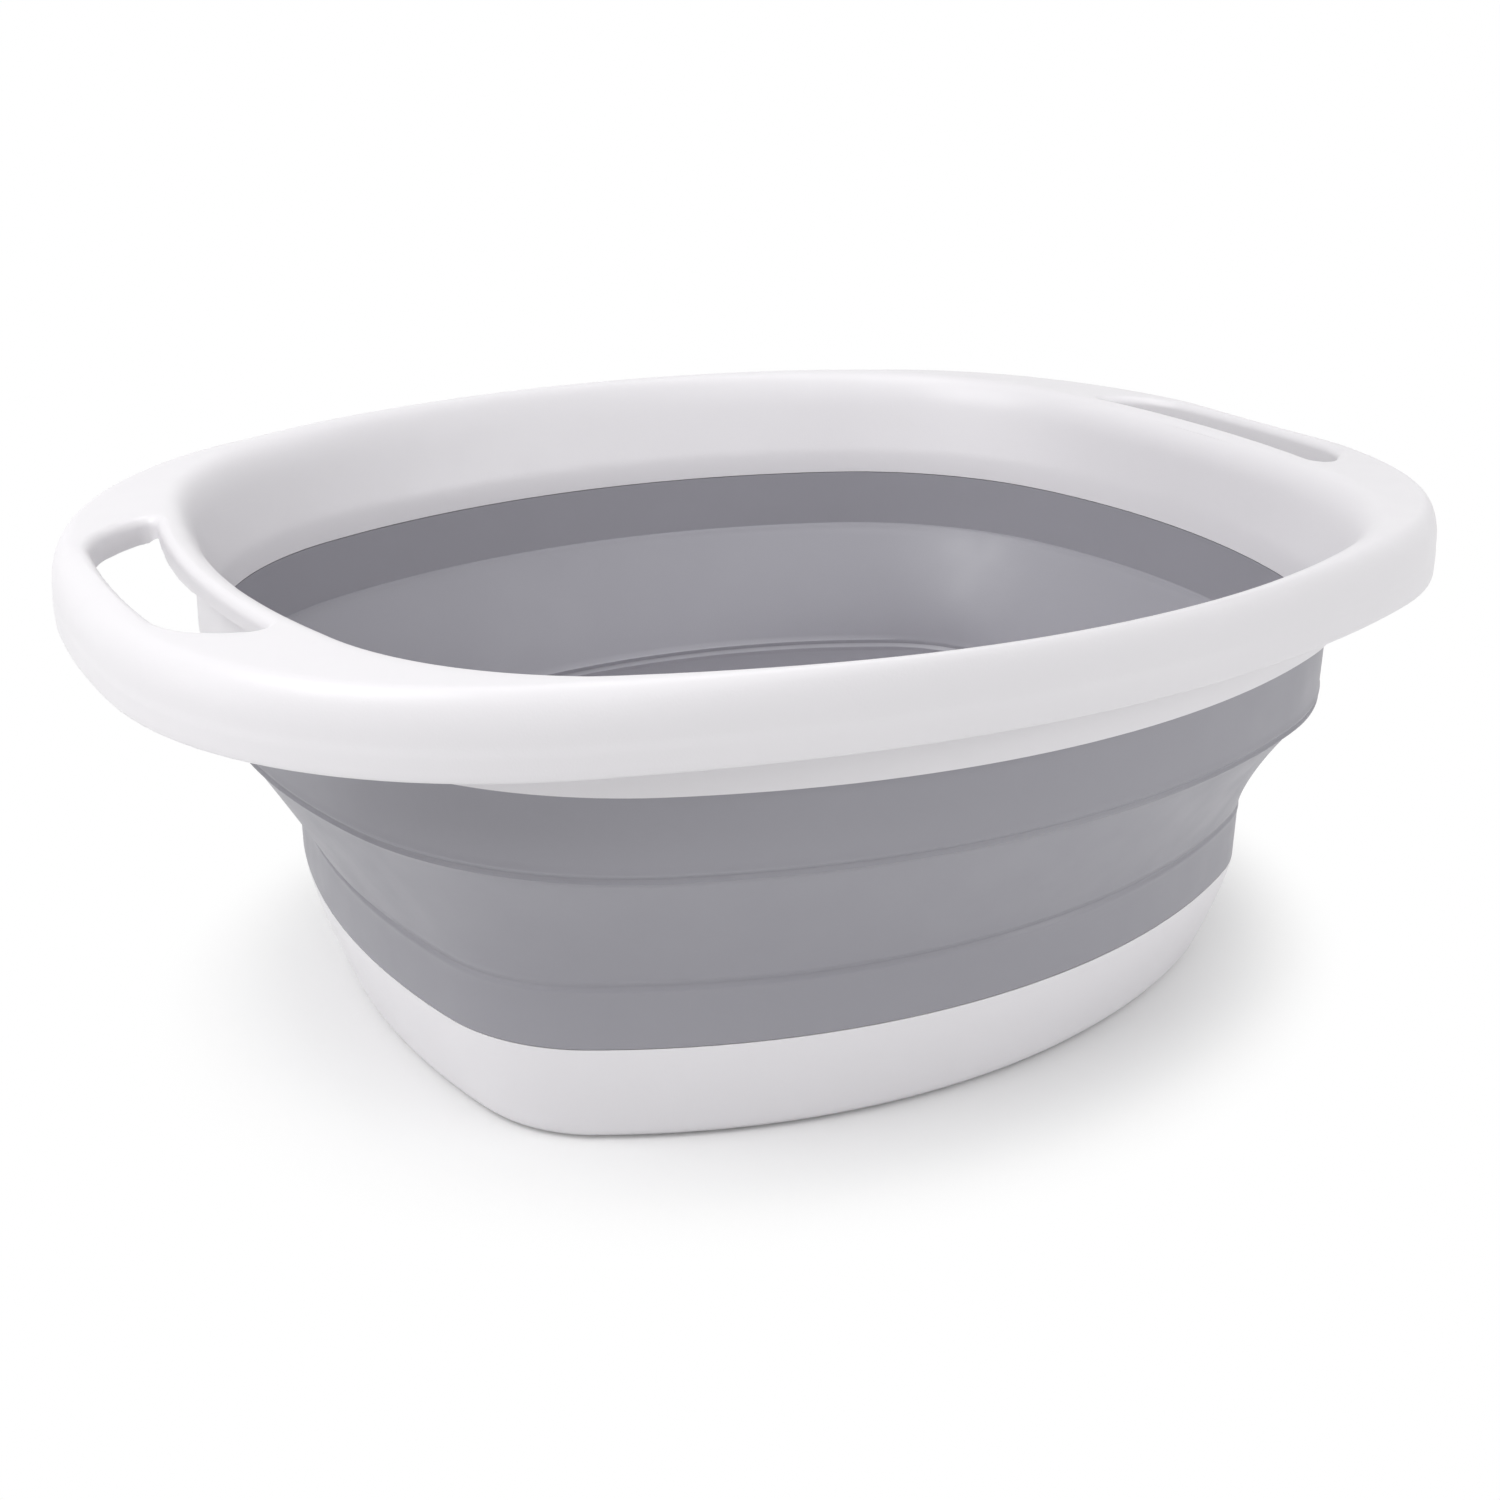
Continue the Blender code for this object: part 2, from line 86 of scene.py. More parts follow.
def oval_point(plan, inset, turn):
    """The point at a share of a full turn round an oval of eight arcs, drawn in by an inset."""
    half_length, half_width, side_radius, end_radius, corner_radius = [size - inset for size in plan]
    side_centre = Vector((0, half_width - side_radius))
    end_centre = Vector((half_length - end_radius, 0))
    side_reach = side_radius - corner_radius
    end_reach = end_radius - corner_radius
    apart = end_centre - side_centre
    along = (side_reach**2 - end_reach**2 + apart.length_squared) / (2 * apart.length)
    across = math.sqrt(side_reach**2 - along**2)
    direction = apart.normalized()
    corner = side_centre + along * direction + across * Vector((direction.y, -direction.x))
    low = math.atan2(corner.y - end_centre.y, corner.x - end_centre.x)
    high = math.atan2(corner.y - side_centre.y, corner.x - side_centre.x)
    quarter, share = divmod(4 * turn, 1)
    if quarter in (1, 3):
        share = 1 - share
    end_share, side_share = 0.25, 0.30
    if share < end_share:
        centre, radius, angle = end_centre, end_radius, low * share / end_share
    elif share < 1 - side_share:
        bend = (share - end_share) / (1 - side_share - end_share)
        centre, radius, angle = corner, corner_radius, low + (high - low) * bend
    else:
        bend = (share - 1 + side_share) / side_share
        centre, radius, angle = side_centre, side_radius, high + (math.pi / 2 - high) * bend
    x = centre.x + radius * math.cos(angle)
    y = centre.y + radius * math.sin(angle)
    return Vector((-x if quarter in (1, 2) else x, -y if quarter in (2, 3) else y, 0))


def draw_out(bm, edges, place):
    """Extrudes a loop of edges, and puts each new point where its own mark says."""
    mark = bm.verts.layers.float["mark"]
    drawn = bmesh.ops.extrude_edge_only(bm, edges=edges)["geom"]
    fresh = {item for item in drawn if isinstance(item, bmesh.types.BMVert)}
    for vert in fresh:
        vert.co = place(vert[mark])
    return [e for e in drawn if isinstance(e, bmesh.types.BMEdge) and set(e.verts) <= fresh]


def mould(rings, closed, points=POINTS_ROUND):
    """A skin drawn out from a circle through rings: a hoop where closed, or else a filled body."""
    bm = bmesh.new()
    mark = bm.verts.layers.float.new("mark")
    bmesh.ops.create_circle(bm, segments=points)
    for i, vert in enumerate(bm.verts):
        vert[mark] = i / points
        vert.co = rings[0](vert[mark])
    first = last = bm.edges[:]
    for ring in rings[1:]:
        last = draw_out(bm, last, ring)
    if closed:
        bmesh.ops.bridge_loops(bm, edges=first + last)
    else:
        bmesh.ops.contextual_create(bm, geom=first)
        bmesh.ops.contextual_create(bm, geom=last)
    return bm


def soften(mesh):
    """Smooth shading, broken only at real creases."""
    mesh.shade_smooth()
    mesh.set_sharp_from_angle(angle=CREASE_ANGLE)


def add_piece(name, bm, finish):
    """A named piece of the tub from a finished bmesh."""
    mark = bm.verts.layers.float.get("mark")
    if mark:
        bm.verts.layers.float.remove(mark)
    bmesh.ops.recalc_face_normals(bm, faces=bm.faces)
    mesh = bpy.data.meshes.new(name)
    bm.to_mesh(mesh)
    bm.free()
    soften(mesh)
    mesh.materials.append(finish)
    piece = bpy.data.objects.new(name, mesh)
    bpy.context.scene.collection.objects.link(piece)
    return piece


def make_moulded_skin():
    """Slow drift of tone, patches of polish and fine tool grain, as on any moulded surface."""
    group = bpy.data.node_groups.new("moulded_skin", "ShaderNodeTree")
    sockets = (
        ("Colour", "INPUT", "NodeSocketColor"),
        ("Tone drift", "INPUT", "NodeSocketFloat"),
        ("Polish", "INPUT", "NodeSocketFloat"),
        ("Grain scale", "INPUT", "NodeSocketFloat"),
        ("Colour", "OUTPUT", "NodeSocketColor"),
        ("Roughness", "OUTPUT", "NodeSocketFloat"),
        ("Grain", "OUTPUT", "NodeSocketFloat"),
    )
    for name, way, kind in sockets:
        group.interface.new_socket(name, in_out=way, socket_type=kind)
    nodes, links = group.nodes, group.links
    given = nodes.new("NodeGroupInput")
    result = nodes.new("NodeGroupOutput")
    place = nodes.new("ShaderNodeTexCoord")
    cloud, patch, grain = (nodes.new("ShaderNodeTexNoise") for _ in range(3))
    for noise, scale, detail in ((cloud, 7.0, 2.0), (patch, 55.0, 3.0), (grain, 1500.0, 2.0)):
        noise.inputs["Scale"].default_value = scale
        noise.inputs["Detail"].default_value = detail
        links.new(place.outputs["Object"], noise.inputs["Vector"])
    links.new(given.outputs["Grain scale"], grain.inputs["Scale"])
    swing = nodes.new("ShaderNodeMath")
    swing.operation = "SUBTRACT"
    swing.inputs[1].default_value = 0.5
    links.new(cloud.outputs["Fac"], swing.inputs[0])
    value = nodes.new("ShaderNodeMath")
    value.operation = "MULTIPLY_ADD"
    value.inputs[2].default_value = 1.0
    links.new(swing.outputs[0], value.inputs[0])
    links.new(given.outputs["Tone drift"], value.inputs[1])
    tone = nodes.new("ShaderNodeHueSaturation")
    links.new(value.outputs[0], tone.inputs["Value"])
    links.new(given.outputs["Colour"], tone.inputs["Color"])
    links.new(tone.outputs["Color"], result.inputs["Colour"])
    scuff = nodes.new("ShaderNodeMapRange")
    scuff.inputs["From Min"].default_value = 0.3
    scuff.inputs["From Max"].default_value = 0.7
    scuff.inputs["To Min"].default_value = -0.05
    scuff.inputs["To Max"].default_value = 0.05
    links.new(patch.outputs["Fac"], scuff.inputs["Value"])
    polish = nodes.new("ShaderNodeMath")
    links.new(scuff.outputs["Result"], polish.inputs[0])
    links.new(given.outputs["Polish"], polish.inputs[1])
    links.new(polish.outputs[0], result.inputs["Roughness"])
    links.new(grain.outputs["Fac"], result.inputs["Grain"])
    return group


moulded_skin = make_moulded_skin()


def moulded_finish(name, colour, drift, polish, grain_scale, grain_depth):
    """A plastic finish over the shared moulded skin."""
    finish = bpy.data.materials.new(name)
    finish.use_nodes = True
    nodes, links = finish.node_tree.nodes, finish.node_tree.links
    shader = nodes["Principled BSDF"]
    skin = nodes.new("ShaderNodeGroup")
    skin.node_tree = moulded_skin
    skin.inputs["Colour"].default_value = colour
    skin.inputs["Tone drift"].default_value = drift
    skin.inputs["Polish"].default_value = polish
    skin.inputs["Grain scale"].default_value = grain_scale
    bump = nodes.new("ShaderNodeBump")
    bump.inputs["Strength"].default_value = 0.25
    bump.inputs["Distance"].default_value = grain_depth
    links.new(skin.outputs["Colour"], shader.inputs["Base Color"])
    links.new(skin.outputs["Roughness"], shader.inputs["Roughness"])
    links.new(skin.outputs["Grain"], bump.inputs["Height"])
    links.new(bump.outputs["Normal"], shader.inputs["Normal"])
    return finish


def level_ring(plan, inset, height):
    """A level ring on a plan, as a function of the share of a turn."""
    def place(turn):
        point = oval_point(plan, inset, turn)
        point.z = height
        return point
    return place


def tray_ring(inset, height):
    return level_ring(TRAY_PLAN, inset, height)


def quarter_turn(steps):
    """(cosine, sine) pairs over a quarter turn."""
    angles = [math.pi / 2 * i / steps for i in range(steps + 1)]
    return [(math.cos(angle), math.sin(angle)) for angle in angles]


def tray_side(share):
    """(inset, height) on the outside of the tray, from its top down."""
    return TRAY_TAPER * share**TRAY_BEND, TRAY_TOP - (TRAY_TOP - TRAY_FOOT) * share


def tray_rings():
    heel_inset = tray_side(1 - TRAY_HEEL / (TRAY_TOP - TRAY_FOOT))[0]
    rings = []
    for across, up in quarter_turn(5):
        lift = TRAY_HEEL * (1 - math.sqrt(1 - up**2))
        rings.append(tray_ring(heel_inset + TRAY_HEEL * across, TRAY_FOOT + lift))
    rings += [tray_ring(*tray_side(step / SIDE_STEPS)) for step in range(HEEL_STEP, -1, -1)]
    rings += [tray_ring(LAP_INSET, TRAY_TOP), tray_ring(LAP_INSET, TRAY_TOP + LAP_DEPTH)]
    rings.append(tray_ring(SOFT_WALL, TRAY_TOP + LAP_DEPTH))
    for step in range(1, COVE_STEP + 1):
        inset, height = tray_side(step / SIDE_STEPS)
        rings.append(tray_ring(inset + SOFT_WALL, height))
    cove = height - FLOOR_TOP
    for across, up in quarter_turn(6)[1:]:
        rings.append(tray_ring(inset + TRAY_WALL + cove * (1 - across), height - cove * up))
    return rings


def combine(piece, bm, operation):
    """Joins a solid to a piece, or cuts it out of the piece, and leaves only the mesh."""
    mesh = bpy.data.meshes.new("cutter")
    bmesh.ops.recalc_face_normals(bm, faces=bm.faces)
    bm.to_mesh(mesh)
    bm.free()
    cutter = bpy.data.objects.new("cutter", mesh)
    bpy.context.scene.collection.objects.link(cutter)
    boolean = piece.modifiers.new("boolean", "BOOLEAN")
    boolean.operation = operation
    boolean.solver = "EXACT"
    boolean.object = cutter
    bpy.context.view_layer.update()
    result = piece.evaluated_get(bpy.context.evaluated_depsgraph_get())
    shape = bpy.data.meshes.new_from_object(result)
    piece.modifiers.clear()
    piece.data = shape
    bpy.data.objects.remove(cutter)


# The tray's finish is the rim's white painted lighter, as painted bounce light from the floor.
tray_finish = moulded_finish("white_tray_plastic_painted_lighter", TRAY_WHITE_PAINTED_LIGHTER, 0.035, 0.36, 1400.0, 0.00012)
tray = add_piece("tray_pan", mould(tray_rings(), closed=False), tray_finish)
drain = bmesh.new()
bmesh.ops.create_cone(
    drain, cap_ends=True, segments=64, radius1=DRAIN_RADIUS, radius2=DRAIN_RADIUS, depth=DRAIN_CUT
)
bmesh.ops.translate(drain, verts=drain.verts, vec=DRAIN_PLACE)
combine(tray, drain, "DIFFERENCE")
soften(tray.data)
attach(tray, "base")
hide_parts("base_tray")

# Feet: four soft pads sunk in pockets under the tray, so that it does not slide when it is wet.
# Each is a stadium-shaped pad of grey rubber, pressed in from below.
GREY = (0.300, 0.296, 0.328, 1.0)
FOOT_LENGTH = 0.0460
FOOT_WIDTH = 0.0160
FOOT_HEIGHT = 0.0024
FOOT_ROUND = 0.49 * FOOT_WIDTH
SOLE_EDGE = 0.0018
SOLE_BEVEL = 0.0005
SOLE_DEPTH = 0.0006
soft_grey = moulded_finish("soft_grey_rubber", GREY, 0.05, 0.42, 1900.0, 0.00015)


def foot_pad(name):
    """A rounded pad where the named foot is, with a shallow recess in its sole."""
    low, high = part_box(name)
    bm = bmesh.new()
    bmesh.ops.create_cube(bm, size=1.0)
    bmesh.ops.scale(bm, vec=(FOOT_LENGTH, FOOT_WIDTH, FOOT_HEIGHT), verts=bm.verts)
    bmesh.ops.translate(bm, vec=(low + high) / 2, verts=bm.verts)
    upright = [e for e in bm.edges if abs(e.verts[0].co.z - e.verts[1].co.z) > FOOT_HEIGHT / 2]
    bmesh.ops.bevel(
        bm, geom=upright, offset=FOOT_ROUND, segments=10, profile=0.5, affect="EDGES", material=-1
    )
    sole = [f for f in bm.faces if f.normal.z < -0.9]
    bmesh.ops.inset_region(bm, faces=sole, thickness=SOLE_EDGE, depth=0)
    bmesh.ops.inset_region(bm, faces=sole, thickness=SOLE_BEVEL, depth=-SOLE_DEPTH)
    return bm


for name in ("front_left_foot", "front_right_foot", "rear_left_foot", "rear_right_foot"):
    foot = add_piece(f"{name}_pad", foot_pad(name), soft_grey)
    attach(foot, "base")
    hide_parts(name)

# Drain plug: a push-in stopper of grey rubber in the tray's floor. Its flange lies on the floor,
# its hollow stem grips the hole, and a half ring on top lifts it out.
PLUG_SEAT = 0.0045
PLUG_FLANGE = 0.0220
PLUG_EDGE = 0.0011
PLUG_STEM = 0.0167
PLUG_SKIN = 0.0030
PLUG_FOOT = 0.0018
DISH_DEPTH = 0.0004
DISH_SHARES = (0.6, 0.7)
PULL_RADIUS = 0.0085
PULL_THICKNESS = 0.0040


def plug_profile():
    """(radius, height) pairs from the middle of the top, round the flange and into the stem."""
    top = PLUG_SEAT + 2 * PLUG_EDGE
    dish, edge = (share * PLUG_FLANGE for share in DISH_SHARES)
    profile = [(0, top - DISH_DEPTH), (dish, top - DISH_DEPTH), (edge, top)]
    for across, up in reversed(quarter_turn(6)):
        profile.append((PLUG_FLANGE - PLUG_EDGE + PLUG_EDGE * across, top - PLUG_EDGE + PLUG_EDGE * up))
    profile += [(PLUG_FLANGE, PLUG_SEAT), (PLUG_STEM, PLUG_SEAT), (PLUG_STEM, PLUG_FOOT)]
    bore = PLUG_STEM - PLUG_SKIN
    profile += [(bore, PLUG_FOOT), (bore, PLUG_SEAT), (0, PLUG_SEAT)]
    return profile


def drain_plug():
    """The stopper spun from its profile, with its half ring on top."""
    bm = bmesh.new()
    points = [bm.verts.new((radius, 0, height)) for radius, height in plug_profile()]
    edges = [bm.edges.new(pair) for pair in zip(points, points[1:])]
    bmesh.ops.spin(
        bm, geom=points + edges, axis=(0, 0, 1), cent=(0, 0, 0), angle=math.tau, steps=72, use_merge=True
    )
    bmesh.ops.remove_doubles(bm, verts=bm.verts, dist=0.00001)
    stopper = set(bm.verts)
    hoop = bmesh.ops.create_circle(bm, segments=20, radius=PULL_THICKNESS / 2)["verts"]
    bmesh.ops.translate(bm, verts=hoop, vec=(PULL_RADIUS, 0, 0))
    hoop_edges = list({e for v in hoop for e in v.link_edges})
    bmesh.ops.spin(
        bm, geom=hoop + hoop_edges, axis=(0, 1, 0), cent=(0, 0, 0), angle=-math.pi, steps=32
    )
    ring = [v for v in bm.verts if v not in stopper]
    bmesh.ops.translate(bm, verts=ring, vec=(0, 0, PLUG_SEAT + PLUG_EDGE))
    bmesh.ops.holes_fill(bm, edges=bm.edges, sides=0)
    bmesh.ops.translate(bm, verts=bm.verts, vec=DRAIN_PLACE)
    return bm


plug = add_piece("drain_stopper", drain_plug(), soft_grey)
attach(plug, "drain_plug")
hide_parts("drain_plug")

# Soft wall: one hoop of grey thermoplastic rubber between the tray and the rim. Two thinned fold
# lines split it into three bands, and the sloping one turns inside out when the rim is pressed down.
COLLAR_PLAN = (0.2128, 0.1856, 0.3278, 0.2694, 0.1279)
COLLAR_STEP = 0.0040
COLLAR_BOTTOM = 0.1472
UPPER_FOLD = 0.1186
LOWER_FOLD = 0.0658
WALL_BEND = 1.05
CORNER_BEND = 0.5
LEDGE = 0.0016
TONGUE_TOP = COLLAR_BOTTOM + 0.0026
TONGUE_INSET = 0.00125
INNER_SEAM = COLLAR_BOTTOM - 0.0030
SEAM_GAP = 0.0003
UPPER_DRAFT = 0.0001
OUTER_UPPER_HEIGHTS = (0.1400, 0.1330, 0.1270, 0.1230)
OUTER_LOWER_HEIGHTS = (0.0600, 0.0540, 0.0480)
INNER_LOWER_HEIGHTS = (0.0520, 0.0580, 0.0620)
INNER_UPPER_HEIGHTS = (0.1250, 0.1320, 0.1390)


def wall_ring(share, depth, height):
    """A ring of the wall, depth under its outer face: share is 0 on the tray's plan, 1 on the collar's.
    Between the two the wall is straight at the sides and ends, and hollow at the corners."""
    def place(turn):
        foot = oval_point(TRAY_PLAN, depth, turn)
        top = oval_point(COLLAR_PLAN, COLLAR_STEP + depth, turn)
        bend = WALL_BEND + CORNER_BEND * math.sin(math.tau * 2 * turn) ** 2
        point = foot.lerp(top, share**bend)
        point.z = height
        return point
    return place


def sloping_rings(depth, ledge, first, last, steps):
    """Rings of the sloping band between two shares of its height, thicker by a ledge at the top."""
    rings = []
    for i in range(steps + 1):
        share = first + (last - first) * i / steps
        height = LOWER_FOLD + (UPPER_FOLD - LOWER_FOLD) * share
        rings.append(wall_ring(share, depth + ledge * share, height))
    return rings


def fold_rings(share, fold, section):
    """Rings across a fold line, from (depth, height over the line) pairs in millimetres."""
    return [wall_ring(share, depth / 1000, fold + up / 1000) for depth, up in section]


def wall_outside():
    """Rings down the outside, with a shallow groove and bead at each fold line."""
    rings = [wall_ring(1, 0, TONGUE_TOP), wall_ring(1, 0, COLLAR_BOTTOM)]
    rings += [wall_ring(1, UPPER_DRAFT, height) for height in OUTER_UPPER_HEIGHTS]
    upper_fold = [(0.0, 2.8), (-0.2, 2.2), (-0.3, 1.6), (-0.15, 1.1), (0.35, 0.6), (0.75, 0.2)]
    upper_fold += [(0.8, -0.2), (0.55, -0.6), (0.15, -1.0), (-0.05, -1.5)]
    rings += fold_rings(1, UPPER_FOLD, upper_fold)
    rings += sloping_rings(0, 0, 0.955, 0.045, 22)
    lower_fold = [(0.3, 1.5), (0.55, 0.9), (0.5, 0.4), (0.1, -0.1), (-0.2, -0.6), (-0.25, -1.2)]
    lower_fold += [(-0.1, -1.8), (0.0, -2.6)]
    rings += fold_rings(0, LOWER_FOLD, lower_fold)
    return rings + [wall_ring(0, 0, height) for height in OUTER_LOWER_HEIGHTS]


def wall_inside():
    """Rings up the inside, with a bead at the lower fold line and a ledge at the upper one."""
    rings = [wall_ring(0, SOFT_WALL, height) for height in INNER_LOWER_HEIGHTS]
    lower_fold = [(2.8, -3.2), (3.0, -2.6), (3.4, -2.0), (3.5, -1.4), (3.2, -0.9), (2.5, -0.4)]
    lower_fold += [(2.2, 0.1), (2.3, 0.7), (2.7, 1.4), (2.85, 2.0)]
    rings += fold_rings(0, LOWER_FOLD, lower_fold)
    rings += sloping_rings(SOFT_WALL, LEDGE, 0.05, 0.95, 22)
    upper_fold = [(4.4, -1.0), (4.3, -0.55), (3.9, -0.2), (3.3, 0.05), (2.9, 0.3), (2.8, 0.8), (2.8, 1.6)]
    rings += fold_rings(1, UPPER_FOLD, upper_fold)
    return rings + [wall_ring(1, SOFT_WALL, height) for height in INNER_UPPER_HEIGHTS]


def wall_rings():
    """The whole wall: down its outside, round the tray's upstand, and up its inside to the tongue."""
    lap_inset = LAP_INSET - SEAM_GAP
    foot = TRAY_TOP + SEAM_GAP
    lap_top = TRAY_TOP + LAP_DEPTH + SEAM_GAP
    seam = INNER_SEAM - SEAM_GAP
    rings = wall_outside() + [wall_ring(0, 0, foot), wall_ring(0, lap_inset, foot)]
    rings += [wall_ring(0, lap_inset, lap_top), wall_ring(0, SOFT_WALL, lap_top)] + wall_inside()
    rings += [wall_ring(1, SOFT_WALL, seam), wall_ring(1, TONGUE_INSET, seam)]
    return rings + [wall_ring(1, TONGUE_INSET, TONGUE_TOP)]


wall = add_piece("folding_wall", mould(wall_rings(), closed=True), soft_grey)
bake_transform(wall, "base", "rim", start=(0, 0, LOWER_FOLD), end=(0, 0, UPPER_FOLD))
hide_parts("upper_wall_band", "middle_wall_band", "lower_wall_band")

# Rim frame: the stiff hoop that the wall hangs from, with a collar, a rolled lip, a flange that
# widens into a handle at each end, and a skirt. It is one moulding of white polypropylene.
RIM_TOP = 0.1899
RIM_PLAN = (0.2600, 0.1992, 0.4391, 0.4436, 0.1539)
CREST_PLAN = (0.2128, 0.1950, 0.3175, 0.3709, 0.1129)
RIM_WALL = 0.0025
KNEE_INSET = 0.0035
LIP_REACH = 0.0080
LIP_SHARE = 0.36
LIP_WIDTH = 0.0060
LIP_DEPTH = 0.0150
ROLL_WIDTH = 0.0125
ROLL_SHARE = 0.62
ROLL_DEPTH = 0.0150
SKIRT_DEPTH = 0.0266
SKIRT_ROUND = 0.0009
SKIRT_FLARE = 0.0004
FLARE_STEP = 0.0008
SKIRT_STRAIGHT = 0.0030
SKIRT_INNER = 0.0220
HANDLE_DROOP = 0.0042
DROOP_START = 0.0870
GROOVE_INSET = COLLAR_STEP - SEAM_GAP
RIM_WHITE = (0.738, 0.724, 0.746, 1.0)
WAIST = COLLAR_BOTTOM + 0.0057


def droop(x):
    """How far the rim falls away towards its handles."""
    share = max(0.0, (abs(x) - DROOP_START) / (RIM_PLAN[0] - DROOP_START))
    return HANDLE_DROOP * share**2


def rim_place(plan, inset, depth, turn):
    """A point depth under the rim's drooping top."""
    point = oval_point(plan, inset, turn)
    point.z = RIM_TOP - depth - droop(point.x)
    return point


def rim_ring(plan, inset, depth):
    return lambda turn: rim_place(plan, inset, depth, turn)


def collar_ring(inset, height):
    return level_ring(COLLAR_PLAN, inset, height)


def between(first, second, share):
    """A ring part of the way from one ring to another."""
    return lambda turn: first(turn).lerp(second(turn), share)


def roll_ring(inset, across, depth):
    """A ring of the outer roll: across is 0 where the flange ends and 1 on the skirt."""
    def place(turn):
        rim = rim_place(RIM_PLAN, inset, 0, turn)
        crest = rim_place(CREST_PLAN, 0, 0, turn)
        share = min(ROLL_SHARE, ROLL_WIDTH / (rim - crest).length)
        point = rim.lerp(crest, share * (1 - across))
        point.z -= depth
        return point
    return place


def lip_end(turn):
    """Where the lip's curve ends on the flange."""
    crest = rim_place(CREST_PLAN, 0, 0, turn)
    rim = rim_place(RIM_PLAN, 0, 0, turn)
    return crest.lerp(rim, min(LIP_SHARE, LIP_REACH / (rim - crest).length))


def rim_rings():
    """The rim's section: up the inside, over the lip, flange and skirt, and back under to the collar."""
    wall_inner = COLLAR_STEP + SOFT_WALL
    foot = collar_ring(wall_inner, INNER_SEAM)
    waist = collar_ring(wall_inner, WAIST)
    knee = rim_ring(CREST_PLAN, KNEE_INSET, 0)
    throat = between(waist, knee, 1 - LIP_DEPTH / (RIM_TOP - WAIST))
    rings = [foot, waist] + [between(waist, throat, i / 6) for i in range(1, 6)]
    for i in range(13):
        share = i / 12
        rings.append(between(between(throat, knee, share), between(knee, lip_end, share), share))
    flange = roll_ring(SKIRT_FLARE, 0, 0)
    rings += [between(lip_end, flange, i / 8) for i in range(1, 8)]
    rings += [roll_ring(SKIRT_FLARE, u, ROLL_DEPTH * (1 - a)) for a, u in quarter_turn(12)]
    for i in range(1, 7):
        flare = SKIRT_FLARE * (1 + math.cos(math.pi * i / 6)) / 2
        rings.append(rim_ring(RIM_PLAN, flare, ROLL_DEPTH + FLARE_STEP * i))
    rings.append(rim_ring(RIM_PLAN, 0, SKIRT_DEPTH - SKIRT_STRAIGHT))
    for a, u in quarter_turn(3):
        rings.append(rim_ring(RIM_PLAN, SKIRT_ROUND * (1 - a), SKIRT_DEPTH - SKIRT_ROUND * (1 - u)))
    rings.append(rim_ring(RIM_PLAN, RIM_WALL, SKIRT_DEPTH))
    rings += [rim_ring(RIM_PLAN, RIM_WALL, depth) for depth in (SKIRT_INNER, ROLL_DEPTH)]
    for a, u in reversed(quarter_turn(5)[:-1]):
        rings.append(roll_ring(RIM_WALL, u, RIM_WALL + (ROLL_DEPTH - RIM_WALL) * (1 - a)))
    under_crest = rim_ring(CREST_PLAN, 0, RIM_WALL)
    under_flange = roll_ring(RIM_WALL, 0, RIM_WALL)
    rings += [between(under_flange, under_crest, i / 8) for i in range(1, 9)]
    hip = rim_ring(CREST_PLAN, LIP_WIDTH - RIM_WALL, LIP_DEPTH)
    collar = collar_ring(0, COLLAR_BOTTOM)
    rings += [between(hip, collar, i / 5) for i in range(6)]
    groove_top = TONGUE_TOP + SEAM_GAP
    groove_inner = wall_inner - TONGUE_INSET
    rings += [collar_ring(GROOVE_INSET, COLLAR_BOTTOM), collar_ring(GROOVE_INSET, groove_top)]
    rings += [collar_ring(groove_inner, groove_top), collar_ring(groove_inner, INNER_SEAM)]
    return rings


rim_finish = moulded_finish("white_rim_plastic", RIM_WHITE, 0.035, 0.38, 1400.0, 0.00012)
rim = add_piece("rim_hoop", mould(rim_rings(), closed=True), rim_finish)

# Hand slots: one through each handle, with a short return wall round it and a full rounded edge.
# They are moulded with the rim, so each is joined to it and then cut through.
GRIP_WIDTH = 0.0140
BAR_WIDTH = 0.0086
SLOT_OUTER_LENGTH = 0.1040
SLOT_INNER_LENGTH = 0.1400
SLOT_END_BULGE = 0.0045
SLOT_OUTER_ROUND = 0.0090
SLOT_INNER_ROUND = 0.0060
BAR_DEPTH = 0.0065
END_DEPTH = 0.0105
EDGE_ROUND = 0.0040
RETURN_EDGE = 0.0006
CUT_DEPTH = 0.0240
CUT_SPREAD = 0.0022
CUT_RISE = 0.0005
BAR_FACING = 0.75
BAR_FADE = 0.6
BULGE_STEPS = ((0.25, 0.75), (0.5, 1.0), (0.75, 0.75))


def end_points(plan, inset, length, steps):
    """Points across the end of a plan, from -Y to +Y."""
    radius = plan[3] - inset
    reach = math.asin(length / 2 / radius)
    turns = [reach * (2 * i / steps - 1) for i in range(steps + 1)]
    return [Vector((plan[0] - plan[3] + radius * math.cos(t), radius * math.sin(t), 0)) for t in turns]


def slot_end(first, second, away):
    """Points of a slot's bulging end between two corners."""
    bulge = Vector((0, away * SLOT_END_BULGE, 0))
    return [first.lerp(second, share) + bulge * lift for share, lift in BULGE_STEPS]


